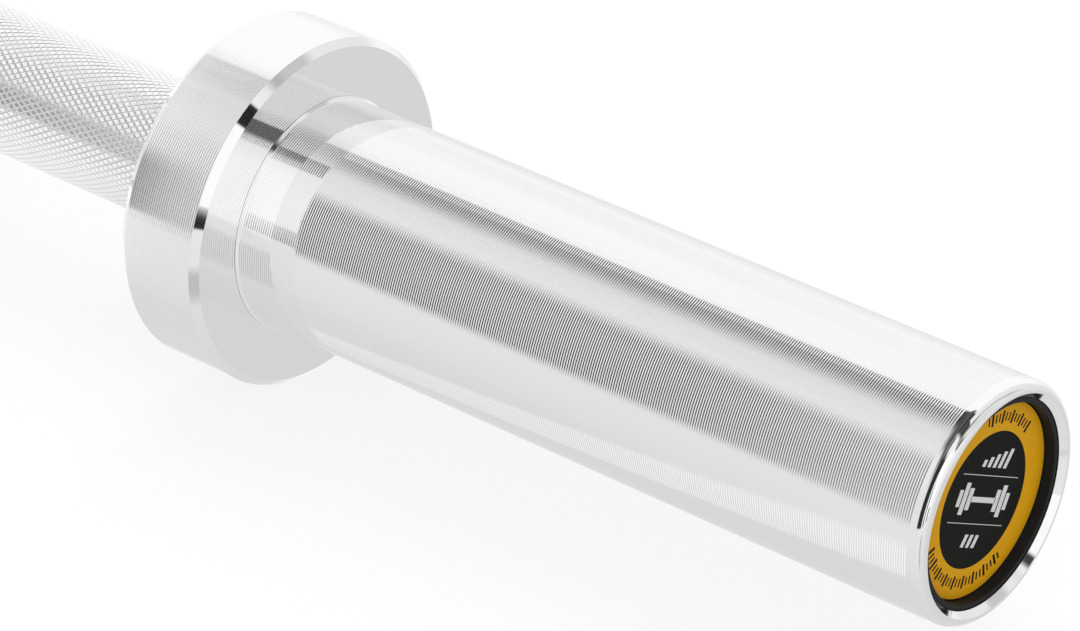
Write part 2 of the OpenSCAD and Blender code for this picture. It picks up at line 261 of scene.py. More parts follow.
class Finish(Shader):
    """A material whose patterns lie on the object's own coordinates."""

    made = {}
    line_shear = 1.3
    line_breaks = 40.0

    def __init__(self, name):
        material = bpy.data.materials.new(name)
        material.use_nodes = True
        super().__init__(material.node_tree)
        self.material = material
        self.surface = self.tree.nodes["Principled BSDF"]
        Finish.made[name] = material
        self.place = self.node("TexCoord", output="Object")
        self.x, self.y, self.z = (
            self.node("SeparateXYZ", None, {"Vector": self.place}, output=axis) for axis in "XYZ")
        self.radius = self.node(
            "VectorMath", {"operation": "LENGTH"},
            {0: self.node("CombineXYZ", None, {"Y": self.y, "Z": self.z})}, output="Value")

    def set(self, **sockets):
        """Sets or links sockets of the surface, named with underscores for spaces."""
        for name, value in sockets.items():
            socket = self.surface.inputs[name.replace("_", " ")]
            if isinstance(value, Value):
                self.tree.links.new(value.socket, socket)
            else:
                socket.default_value = value

    def turned_lines(self, spacing):
        """Fine uneven rings, such as a lathe or a polishing belt leaves on a turned surface."""
        along = (self.x + self.radius * self.line_shear) * (1.0 / spacing)
        vector = self.node(
            "CombineXYZ", None,
            {"X": along, "Y": self.y * self.line_breaks, "Z": self.z * self.line_breaks})
        return self.noise(vector, scale=1.0, detail=3.0, roughness=0.6)

    def smudges(self, size):
        """Soft patches of about this size."""
        return self.noise(self.place, scale=1.0 / size, detail=4.0, roughness=0.55)

    def bump(self, height, strength, distance):
        return self.node(
            "Bump", None, {"Height": height, "Strength": strength, "Distance": distance})


def chrome_finish(name, line_height, bore_r):
    """Bright plating with faint polishing lines and haze, which ends inside the bore."""
    finish = Finish(name)
    bare_roughness = 0.26
    polish = 0.238
    lines = finish.turned_lines(spacing=0.09 * MM)
    haze = finish.smudges(size=9 * MM)
    plated = finish.step(finish.radius, start=bore_r + 0.01 * MM, end=bore_r + 0.05 * MM)
    tint = finish.mix(haze, rgba(colours().chrome), rgba(colours().chrome, shade=0.985))
    finish.set(
        Base_Color=finish.mix(plated, rgba(colours().bore), tint), Metallic=1.0,
        Roughness=bare_roughness - plated * polish + lines * 0.02 + haze * 0.03,
        Normal=finish.bump(lines, strength=1.0, distance=line_height))
    return finish.material


def knurl_finish():
    """Plating on the rolled knurl: bright on the diamonds, dull on their flanks, with painted
    shade that darkens the colour towards the valleys.
    """
    finish = Finish("knurled_chrome")
    flank_roughness = 0.65
    polish = 0.55
    depth = sizes().knurl_depth
    crest = finish.step(finish.radius, start=GRIP_R - depth * 0.9, end=GRIP_R - depth * 0.1)
    grain = finish.smudges(size=0.25 * MM)
    # Painted shade: the plating's colour is darkened below the crests, down into the knurl's
    # valleys.
    plating_and_valley_shade = finish.mix(crest, rgba(colours().grip, shade=0.94), rgba(colours().grip))
    finish.set(
        Base_Color=plating_and_valley_shade, Metallic=1.0,
        Roughness=flank_roughness - crest * polish + grain * 0.08,
        Normal=finish.bump(grain, strength=0.4, distance=0.01 * MM))
    return finish.material


def steel_finish(name, colour, roughness):
    """Bare machined steel or bronze with turned lines."""
    finish = Finish(name)
    lines = finish.turned_lines(spacing=0.12 * MM)
    haze = finish.smudges(size=6 * MM)
    finish.set(
        Base_Color=finish.mix(haze, rgba(colour), rgba(colour, shade=0.85)),
        Metallic=1.0, Roughness=roughness + lines * 0.1,
        Normal=finish.bump(lines, strength=0.5, distance=0.004 * MM))
    return finish.material


def rubber_finish():
    """Matt black rubber with a fine grain."""
    finish = Finish("seal_rubber")
    grain = finish.smudges(size=0.3 * MM)
    finish.set(
        Base_Color=finish.mix(grain, (0.012, 0.012, 0.013, 1), (0.03, 0.03, 0.032, 1)),
        Roughness=0.55 + grain * 0.2,
        Normal=finish.bump(grain, strength=0.5, distance=0.02 * MM))
    return finish.material


def plastic_finish():
    """Glossy black moulded plastic with the faint swirl of its gate."""
    finish = Finish("cap_plastic")
    swirl = finish.smudges(size=5 * MM)
    finish.set(
        Base_Color=finish.mix(swirl, (0.010, 0.010, 0.011, 1), (0.018, 0.018, 0.019, 1)),
        Roughness=0.36 + swirl * 0.1, Specular_IOR_Level=0.06,
        Normal=finish.bump(swirl, strength=0.2, distance=0.02 * MM))
    return finish.material


def print_finish(name, colour, roughness):
    """Ink under the label's clear film, with a faint mottle."""
    finish = Finish(name)
    mottle = finish.smudges(size=0.8 * MM)
    finish.set(
        Base_Color=finish.mix(mottle, rgba(colour, shade=0.94), rgba(colour)),
        Roughness=roughness + mottle * 0.08, Specular_IOR_Level=0.03,
        Normal=finish.bump(mottle, strength=0.1, distance=0.004 * MM))
    return finish.material


def select_only(*pieces):
    """Leaves edit mode and selects these pieces alone, the first as the active one."""
    if bpy.context.mode != "OBJECT":
        bpy.ops.object.mode_set(mode="OBJECT")
    bpy.ops.object.select_all(action="DESELECT")
    for piece in pieces:
        piece.select_set(True)
    if pieces:
        bpy.context.view_layer.objects.active = pieces[0]


def pick(kind, test):
    """Selects the vertices, edges or faces of the mesh in edit mode that pass the test."""
    mesh = bpy.context.object.data
    bpy.ops.mesh.select_mode(type=kind)
    bpy.ops.mesh.select_all(action="DESELECT")
    form = bmesh.from_edit_mesh(mesh)
    elements = {"VERT": form.verts, "EDGE": form.edges, "FACE": form.faces}[kind]
    chosen = [element for element in elements if test(element)]
    for element in chosen:
        element.select_set(True)
    form.select_flush_mode()
    bmesh.update_edit_mesh(mesh)
    if not chosen:
        raise RuntimeError(f"nothing of {bpy.context.object.name} is where it was expected")


def near(first, second, reach=0.002 * MM):
    return abs(first - second) < reach


def pick_rim(place):
    """Selects the open edges that lie square across the bar at this place."""
    pick("EDGE", lambda edge: edge.is_boundary and all(near(v.co.x, place) for v in edge.verts))


def add_modifier(kind, **settings):
    """Adds a modifier to the active object, sets it and applies it."""
    piece = bpy.context.object
    if bpy.context.mode != "OBJECT":
        bpy.ops.object.mode_set(mode="OBJECT")
    bpy.ops.object.modifier_add(type=kind)
    modifier = piece.modifiers[-1]
    for name, value in settings.items():
        setattr(modifier, name, value)
    bpy.ops.object.modifier_apply(modifier=modifier.name)


def close_and_smooth(smooth_angle):
    """Merges doubles, turns the faces outwards and shades the slight edges smooth."""
    bpy.ops.object.mode_set(mode="EDIT")
    bpy.ops.mesh.select_mode(type="VERT")
    bpy.ops.mesh.select_all(action="SELECT")
    bpy.ops.mesh.remove_doubles(threshold=MERGE_REACH)
    bpy.ops.mesh.normals_make_consistent(inside=False)
    bpy.ops.object.mode_set(mode="OBJECT")
    bpy.ops.object.shade_smooth_by_angle(angle=smooth_angle)


class Outline:
    """Half the section of a turned piece, drawn as a wire of (length, radius) points."""

    def __init__(self, name, start):
        select_only()
        bpy.ops.mesh.primitive_plane_add(size=MM)
        self.piece = bpy.context.object
        self.piece.name = name
        bpy.ops.object.mode_set(mode="EDIT")
        bpy.ops.mesh.select_mode(type="VERT")
        bpy.ops.mesh.select_all(action="SELECT")
        bpy.ops.mesh.merge(type="CENTER")
        bpy.ops.transform.translate(value=(start[0], 0, start[1]))
        self.pen = start

    def line(self, *points):
        """Draws on from the selected end of the wire, through each point in turn."""
        for length, radius in points:
            offset = (length - self.pen[0], 0, radius - self.pen[1])
            bpy.ops.mesh.extrude_region_move(TRANSFORM_OT_translate={"value": offset})
            self.pen = (length, radius)

    def repeat(self, pitch, count):
        """Repeats what is drawn along the bar, and takes the pen to its far end."""
        add_modifier(
            "ARRAY", use_relative_offset=False, use_constant_offset=True,
            constant_offset_displace=(pitch, 0, 0), count=count,
            use_merge_vertices=True, merge_threshold=MERGE_REACH)
        bpy.ops.object.mode_set(mode="EDIT")
        end = max(v.co.x for v in self.piece.data.vertices)
        pick("VERT", lambda vertex: near(vertex.co.x, end))
        self.pen = (end, self.pen[1])

    def turn(self, steps, smooth_angle):
        """Turns the wire about the bar's axis into a closed piece."""
        add_modifier(
            "SCREW", axis="X", steps=steps, render_steps=steps,
            use_merge_vertices=True, merge_threshold=MERGE_REACH / 2)
        close_and_smooth(smooth_angle)
        return self.piece


def groove(outline, rise):
    """Draws one turned groove: land, steep flank and long rise to the next land."""
    size = sizes()
    length, radius = outline.pen
    land = size.groove_pitch - size.groove_drop - rise
    low = radius - rise * math.tan(size.groove_slope)
    outline.line(
        (length + land, radius), (length + land + size.groove_drop, low),
        (length + size.groove_pitch, radius))


def other_end(piece, name):
    """Copies a piece of the right end to the left end, turned half a turn about Z."""
    select_only(piece)
    bpy.ops.object.duplicate()
    copy = bpy.context.object
    copy.name = name
    bpy.ops.transform.rotate(value=math.pi, orient_axis="Z", center_override=AXIS)
    bpy.ops.object.transform_apply(location=True, rotation=True, scale=True)
    return copy


def finish_piece(piece, body, slot, *nodes):
    """Puts a closed piece on its body, in place of the CAD nodes that it stands for."""
    form = bmesh.new()
    form.from_mesh(piece.data)
    closed = all(edge.is_manifold for edge in form.edges)
    form.free()
    if not closed:
        raise RuntimeError(f"{piece.name} isn't closed")
    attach(piece, body)
    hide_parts(*nodes)


def finish_both_ends(right, left_name, slot, node):
    """Copies a finished piece of the right end to the left, and puts both on their sleeves."""
    left = other_end(right, left_name)
    for side, piece in zip(SIDES, (right, left)):
        finish_piece(piece, "sleeve_" + side, slot, f"{node}_{side}")


class BAR_OT_sleeves(bpy.types.Operator):
    """Turns both sleeves, with a fine groove beside the next all along the outside"""

    bl_idname = "bar.sleeves"
    bl_label = "Sleeves"

    neck_gap = 0.05 * MM
    end_round_l = 2.4 * MM
    end_round_w = 1.9 * MM
    end_round_steps = 24
    end_land = 0.7 * MM
    neck_flare_w = 0.6 * MM
    neck_flare_l = 0.5 * MM
    mouth_bevel_w = 1.2 * MM
    mouth_bevel_l = 1.3 * MM
    seat_spare = 1.0 * MM
    tube_wall = 5.0 * MM
    seat_chamfer = 1.5 * MM
    ledge = 2.0 * MM
    line_height = 0.0006 * MM
    steps_round = 80
    smooth_angle = math.radians(5)

    def execute(self, context):
        size = sizes()
        start = COLLAR_FRONT + self.neck_gap
        land = start + self.neck_flare_l
        grooved = SLEEVE_END - self.end_round_l - self.end_land - land
        outline = Outline("sleeve_turned_right", (land, SLEEVE_R))
        groove(outline, size.sleeve_groove_rise)
        outline.repeat(size.groove_pitch, int(grooved / size.groove_pitch))
        self.draw_end(outline)
        self.draw_bore(outline)
        outline.line(
            (start, SPIGOT_R), (start, SLEEVE_R + self.neck_flare_w), (land, SLEEVE_R))
        sleeve = outline.turn(self.steps_round, self.smooth_angle)
        sleeve.data.materials.append(chrome_finish("chrome_sleeve", self.line_height, MOUTH_R))
        finish_both_ends(sleeve, "sleeve_turned_left", "chrome_sleeve", "sleeve")
        return {"FINISHED"}

    def draw_end(self, outline):
        """Draws the rounded end and the bevel that leads into the mouth."""
        for step in range(self.end_round_steps + 1):
            turn = math.pi / 2 * step / self.end_round_steps
            outline.line((
                SLEEVE_END - self.end_round_l * (1 - math.sin(turn)),
                SLEEVE_R - self.end_round_w * (1 - math.cos(turn))))
        outline.line(
            (SLEEVE_END, MOUTH_R + self.mouth_bevel_w),
            (SLEEVE_END - self.mouth_bevel_l, MOUTH_R))

    def draw_bore(self, outline):
        """Draws the mouth, the bearing seats, the relieved bore and the spigot."""
        seat_end = OUTER_WASHER_START - FACE_GAP
        ledge_r = MOUTH_R - self.ledge
        relief_r = SLEEVE_R - self.tube_wall
        inner_seat_end = INNER_CUP_END + self.seat_spare
        outer_seat_start = OUTER_CUP_START - self.seat_spare
        chamfer = self.seat_chamfer
        outline.line(
            (CAP_START, MOUTH_R), (CAP_START, ledge_r), (seat_end, ledge_r), (seat_end, SEAT_R),
            (outer_seat_start + chamfer, SEAT_R), (outer_seat_start, SEAT_R + chamfer),
            (outer_seat_start, relief_r), (inner_seat_end, relief_r),
            (inner_seat_end, SEAT_R + chamfer), (inner_seat_end - chamfer, SEAT_R),
            (SLEEVE_START, SEAT_R), (SLEEVE_START, SPIGOT_R - LEAD_IN),
            (SLEEVE_START + 2 * LEAD_IN, SPIGOT_R))


class BAR_OT_collars(bpy.types.Operator):
    """Turns both collars, with shallow grooves on the outside"""

    bl_idname = "bar.collars"
    bl_label = "Collars"

    front_chamfer = 1.5 * MM
    rear_chamfer_r = 1.65 * MM
    rear_chamfer_l = 2.05 * MM
    neck_bevel = 0.35 * MM
    web = 2.5 * MM
    bore_gap = 0.35 * MM
    web_gap = 0.3 * MM
    line_height = 0.0008 * MM
    steps_round = 144
    smooth_angle = math.radians(5)

    def execute(self, context):
        size = sizes()
        first = COLLAR_REAR + self.rear_chamfer_l
        last = COLLAR_FRONT - self.front_chamfer
        outline = Outline("collar_turned_right", (first, COLLAR_R))
        groove(outline, size.collar_groove_rise)
        outline.repeat(size.groove_pitch, int((last - first) / size.groove_pitch))
        bore_r = GRIP_R + self.bore_gap
        web_r = JOURNAL_R + self.web_gap
        outline.line(
            (last, COLLAR_R), (COLLAR_FRONT, COLLAR_R - self.front_chamfer),
            (COLLAR_FRONT, SPIGOT_R + self.neck_bevel), (COLLAR_FRONT - self.neck_bevel, SPIGOT_R),
            (SLEEVE_START, SPIGOT_R), (SLEEVE_START, web_r),
            (SLEEVE_START - self.web, web_r), (SLEEVE_START - self.web, bore_r),
            (COLLAR_REAR + LEAD_IN, bore_r), (COLLAR_REAR, bore_r + LEAD_IN),
            (COLLAR_REAR, COLLAR_R - self.rear_chamfer_r), (first, COLLAR_R))
        collar = outline.turn(self.steps_round, self.smooth_angle)
        collar.data.materials.append(chrome_finish("chrome_collar", self.line_height, GRIP_R))
        finish_both_ends(collar, "collar_turned_left", "chrome_collar", "collar")
        return {"FINISHED"}


class BAR_OT_shaft(bpy.types.Operator):
    """Rolls the diamond knurl of the grip and turns the shaft's two journals"""

    bl_idname = "bar.shaft"
    bl_label = "Shaft"

    shoulder_chamfer = 0.6 * MM
    journal_chamfer = 1.0 * MM
    waist_r = 11.0 * MM
    waist_gap = 2.0 * MM
    groove_depth = 0.55 * MM
    centre_r = 1.6 * MM
    centre_mouth_r = 3.3 * MM
    centre_l = 4.0 * MM
    centre_angle = math.radians(60)
    flank_share = 0.30
    bevel_share = 0.06
    bevel_rise = 0.10
    knurl_merge_reach = 0.01 * MM
    steps_round = 96
    grip_smooth_angle = math.radians(12)
    journal_smooth_angle = math.radians(30)

    def execute(self, context):
        shaft = self.knurl()
        journal = self.journal()
        left = other_end(journal, "journal_left")
        select_only(shaft, journal, left)
        bpy.ops.object.join()
        bpy.ops.object.mode_set(mode="EDIT")
        for place in (SHOULDER, -SHOULDER):
            pick_rim(place)
            bpy.ops.mesh.bridge_edge_loops()
        close_and_smooth(self.grip_smooth_angle)
        shaft.data.materials.append(knurl_finish())
        finish_piece(shaft, "shaft", "knurled_chrome", "shaft")
        return {"FINISHED"}

    def knurl(self):
        """The grip: one raised diamond, repeated to a sheet, rolled up and cut to length."""
        size = sizes()
        starts = size.knurl_starts
        depth = size.knurl_depth
        valley_r = GRIP_R - depth
        cell = 2 * math.pi * valley_r / starts
        cell_l = cell / math.tan(size.knurl_angle)
        reach = cell * math.cos(size.knurl_angle) / 2
        rows = math.ceil(2 * SHOULDER / cell_l) + 1
        select_only()
        bpy.ops.mesh.primitive_circle_add(
            vertices=4, radius=0.5, fill_type="NGON", rotation=(math.pi / 2, 0, 0))
        sheet = bpy.context.object
        sheet.name = "shaft_knurled"
        bpy.ops.object.transform_apply(location=True, rotation=True, scale=True)
        bpy.ops.object.mode_set(mode="EDIT")
        bpy.ops.mesh.select_all(action="SELECT")
        bpy.ops.transform.resize(value=(cell_l, 1, cell), center_override=AXIS)
        bpy.ops.mesh.inset(thickness=reach * self.flank_share, depth=depth * (1 - self.bevel_rise))
        bpy.ops.mesh.inset(thickness=reach * self.bevel_share, depth=depth * self.bevel_rise)
        bpy.ops.mesh.select_all(action="SELECT")
        bpy.ops.mesh.duplicate_move(
            TRANSFORM_OT_translate={"value": (cell_l / 2, 0, cell / 2)})
        add_modifier(
            "ARRAY", use_relative_offset=False, use_constant_offset=True,
            constant_offset_displace=(0, 0, cell), count=starts)
        add_modifier(
            "ARRAY", use_relative_offset=False, use_constant_offset=True,
            constant_offset_displace=(cell_l, 0, 0), count=rows)
        self.centre(sheet, cell_l * (rows + 0.5) / 2)
        add_modifier(
            "SIMPLE_DEFORM", deform_method="BEND", deform_axis="X",
            angle=2 * math.pi * (starts + 0.5) / starts)
        bpy.ops.object.mode_set(mode="EDIT")
        bpy.ops.mesh.select_all(action="SELECT")
        bpy.ops.transform.translate(value=(0, -valley_r, 0))
        bpy.ops.mesh.remove_doubles(threshold=self.knurl_merge_reach)
        for way in (1, -1):
            self.cut_end(way)
        return sheet

    def centre(self, sheet, half):
        """Moves the sheet so that its middle along the bar is at the origin."""
        bpy.ops.object.mode_set(mode="EDIT")
        bpy.ops.mesh.select_all(action="SELECT")
        middle = half - abs(min(v.co.x for v in bmesh.from_edit_mesh(sheet.data).verts))
        bpy.ops.transform.translate(value=(-middle, 0, 0))
        bpy.ops.object.mode_set(mode="OBJECT")

    def cut_end(self, way):
        """Cuts the knurl square and chamfers it down to the shoulder."""
        cut = way * (SHOULDER - self.shoulder_chamfer)
        bpy.ops.mesh.select_all(action="SELECT")
        bpy.ops.mesh.bisect(
            plane_co=(cut, 0, 0), plane_no=(way, 0, 0), clear_outer=True, threshold=MERGE_REACH)
        pick_rim(cut)
        bpy.ops.mesh.extrude_region_move(
            TRANSFORM_OT_translate={"value": (way * self.shoulder_chamfer, 0, 0)})
        taper = (GRIP_R - self.shoulder_chamfer) / GRIP_R
        bpy.ops.transform.resize(value=(1, taper, taper), center_override=AXIS)

    def journal(self):
        """One journal: open at the shoulder, where the grip is bridged to it."""
        slope = JOURNAL_R - self.waist_r
        waist_from = INNER_CUP_END + self.waist_gap
        waist_to = OUTER_CUP_START - self.waist_gap
        groove_r = JOURNAL_R - self.groove_depth
        cone_l = (self.centre_mouth_r - self.centre_r) / math.tan(self.centre_angle / 2)
        outline = Outline("journal_right", (SHOULDER, JOURNAL_R))
        outline.line(
            (waist_from, JOURNAL_R), (waist_from + slope, self.waist_r),
            (waist_to - slope, self.waist_r), (waist_to, JOURNAL_R),
            (RING_START, JOURNAL_R), (RING_START, groove_r),
            (RING_END, groove_r), (RING_END, JOURNAL_R),
            (SHAFT_END - self.journal_chamfer, JOURNAL_R),
            (SHAFT_END, JOURNAL_R - self.journal_chamfer),
            (SHAFT_END, self.centre_mouth_r), (SHAFT_END - cone_l, self.centre_r),
            (SHAFT_END - cone_l - self.centre_l, self.centre_r),
            (SHAFT_END - cone_l - self.centre_l, 0))
        return outline.turn(self.steps_round, self.journal_smooth_angle)


class BAR_OT_labels(bpy.types.Operator):
    """Makes the round label of each end: a ring, a disc, two hairlines and plain marks"""

    bl_idname = "bar.labels"
    bl_label = "Labels"

    disc_r = 13.9 * MM
    steps_round = 144
    smooth_angle = math.radians(15)
    ink_height = 0.03 * MM
    hairline_l = 20.9 * MM
    hairline_w = 0.13 * MM
    hairline_height = 4.85 * MM

    # The dumbbell sign: its rod, and where each plate begins, how wide it is and how high.
    rod_l = 9.2 * MM
    rod_w = 1.1 * MM
    plates = (
        (4.4 * MM, 1.5 * MM, 4.4 * MM),
        (6.3 * MM, 1.5 * MM, 6.4 * MM),
        (8.2 * MM, 1.3 * MM, 3.4 * MM))

    # The rows of leaning bars: where they begin, the height of the first and how much is added
    # to each of the next, and how many there are.
    bar_w = 1.15 * MM
    bar_step = 2.0 * MM
    bar_lean = 0.25
    bar_rows = (
        (-4.6 * MM, 6.5 * MM, 1.4 * MM, 0.65 * MM, 5),
        (-2.7 * MM, -9.6 * MM, 2.6 * MM, 0.0, 3))

    # The arcs of ticks: the middle and half the width of each, in degrees. Every third tick is
    # a long one.
    tick_r = 16.75 * MM
    tick_step = 4
    tick_arcs = ((90, 26), (270, 50))
    long_tick = (2.6 * MM, 0.62 * MM)
    short_tick = (1.7 * MM, 0.42 * MM)

    def execute(self, context):
        thickness = LABEL_FACE - CAP_FACE
        select_only()
        bpy.ops.mesh.primitive_circle_add(
            vertices=self.steps_round, radius=LABEL_R, fill_type="NGON", location=AXIS)
        face = bpy.context.object
        face.name = "label_printed_right"
        bpy.ops.object.mode_set(mode="EDIT")
        bpy.ops.mesh.select_all(action="SELECT")
        bpy.ops.mesh.extrude_region_move(TRANSFORM_OT_translate={"value": (0, 0, thickness)})
        bpy.ops.mesh.inset(thickness=LABEL_R - self.disc_r)
        bpy.ops.object.mode_set(mode="OBJECT")
        marks = self.disc_marks() + self.ring_marks()
        self.lay_on(face, marks, thickness)
        finish_both_ends(face, "label_printed_left", "label", "end_label")
        return {"FINISHED"}

    def mark(self, corners, ink):
        """A thin flat mark between four corners, printed in this ink."""
        select_only()
        bpy.ops.mesh.primitive_plane_add(size=1)
        mark = bpy.context.object
        form = mark.data
        for vertex, (across, up) in zip(form.vertices, corners):
            vertex.co = (across, up, 0)
        form.materials.append(ink)
        bpy.ops.object.mode_set(mode="EDIT")
        bpy.ops.mesh.select_all(action="SELECT")
        bpy.ops.mesh.extrude_region_move(
            TRANSFORM_OT_translate={"value": (0, 0, self.ink_height)})
        bpy.ops.object.mode_set(mode="OBJECT")
        return mark

    def bar(self, left, bottom, width, height, ink, lean=0.0):
        """An upright or leaning bar, given by its lower left corner."""
        shift = height * lean
        return self.mark(
            ((left, bottom), (left + width, bottom),
             (left + shift, bottom + height), (left + width + shift, bottom + height)), ink)

    def disc_marks(self):
        """Two hairlines, a dumbbell sign between them and plain bars above and below."""
        ink = Finish.made["label_print"]
        marks = [
            self.bar(
                -self.hairline_l / 2, way * self.hairline_height - self.hairline_w / 2,
                self.hairline_l, self.hairline_w, ink)
            for way in (1, -1)]
        marks.append(self.bar(-self.rod_l / 2, -self.rod_w / 2, self.rod_l, self.rod_w, ink))
        for start, width, height in self.plates:
            for left in (start, -start - width):
                marks.append(self.bar(left, -height / 2, width, height, ink))
        for left, bottom, height, growth, count in self.bar_rows:
            for number in range(count):
                marks.append(self.bar(
                    left + self.bar_step * number, bottom, self.bar_w,
                    height + growth * number, ink, self.bar_lean))
        return marks

    def ring_marks(self):
        """Ticks like those of a dial, in an arc at the top and a longer one at the bottom."""
        ink = Finish.made["label_disc"]
        marks = []
        for middle, half in self.tick_arcs:
            for number in range(int(2 * half / self.tick_step) + 1):
                turn = math.radians(middle - half + number * self.tick_step)
                tall, wide = self.short_tick if number % 3 else self.long_tick
                out = (math.cos(turn), math.sin(turn))
                across = (-out[1], out[0])
                corners = [
                    (out[0] * (self.tick_r + up * tall / 2) + across[0] * side * wide / 2,
                     out[1] * (self.tick_r + up * tall / 2) + across[1] * side * wide / 2)
                    for up in (-1, 1) for side in (1, -1)]
                marks.append(self.mark(corners, ink))
        return marks

    def lay_on(self, face, marks, thickness):
        """Gives the label its inks, joins the marks to it and turns it to its place."""
        inks = [Finish.made[name] for name in ("label_ring", "label_disc")]
        for ink in inks:
            face.data.materials.append(ink)
        for polygon in face.data.polygons:
            inner = polygon.center.xy.length < self.disc_r / 2 and polygon.center.z > thickness / 2
            polygon.material_index = 1 if inner else 0
        for mark in marks:
            mark.location.z = thickness
        select_only(face, *marks)
        bpy.ops.object.join()
        bpy.ops.object.mode_set(mode="EDIT")
        bpy.ops.mesh.select_all(action="SELECT")
        bpy.ops.mesh.normals_make_consistent(inside=False)
        bpy.ops.object.mode_set(mode="OBJECT")
        face.rotation_mode = "XYZ"
        face.rotation_euler = (0, 0, sizes().label_turn)
        bpy.ops.object.transform_apply(location=True, rotation=True, scale=True)
        face.rotation_euler = (math.pi / 2, 0, math.pi / 2)
        face.location = (CAP_FACE, 0, 0)
        bpy.ops.object.transform_apply(location=True, rotation=True, scale=True)
        bpy.ops.object.shade_smooth_by_angle(angle=self.smooth_angle)


class BAR_OT_inner_parts(bpy.types.Operator):
    """Gives the end caps, bearings, washers, seals and rings of the frame their finishes"""

    bl_idname = "bar.inner_parts"
    bl_label = "Inner parts"

    def execute(self, context):
        finishes = {
            "end_cap": plastic_finish(),
            "washer": steel_finish("bronze", colour=(0.55, 0.31, 0.11), roughness=0.25),
            "cup": steel_finish("bearing_steel", colour=(0.50, 0.50, 0.51), roughness=0.14),
            "cage": steel_finish("cage_steel", colour=(0.33, 0.30, 0.26), roughness=0.35),
            "ring": steel_finish("spring_steel", colour=(0.12, 0.12, 0.13), roughness=0.30),
            "seal": rubber_finish(),
        }
        finishes["needles"] = finishes["cup"]
        for name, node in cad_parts.items():
            for word, material in finishes.items():
                if word in name.split("_") or name.startswith(word):
                    node.data.materials.clear()
                    node.data.materials.append(material)
        return {"FINISHED"}


class BAR_OT_inks(bpy.types.Operator):
    """Mixes the inks of the labels"""

    bl_idname = "bar.inks"
    bl_label = "Inks"

    def execute(self, context):
        print_finish("label_ring", colours().label_ring, roughness=0.38)
        print_finish("label_disc", colours().label_disc, roughness=0.34)
        print_finish("label_print", colours().label_print, roughness=0.40)
        return {"FINISHED"}


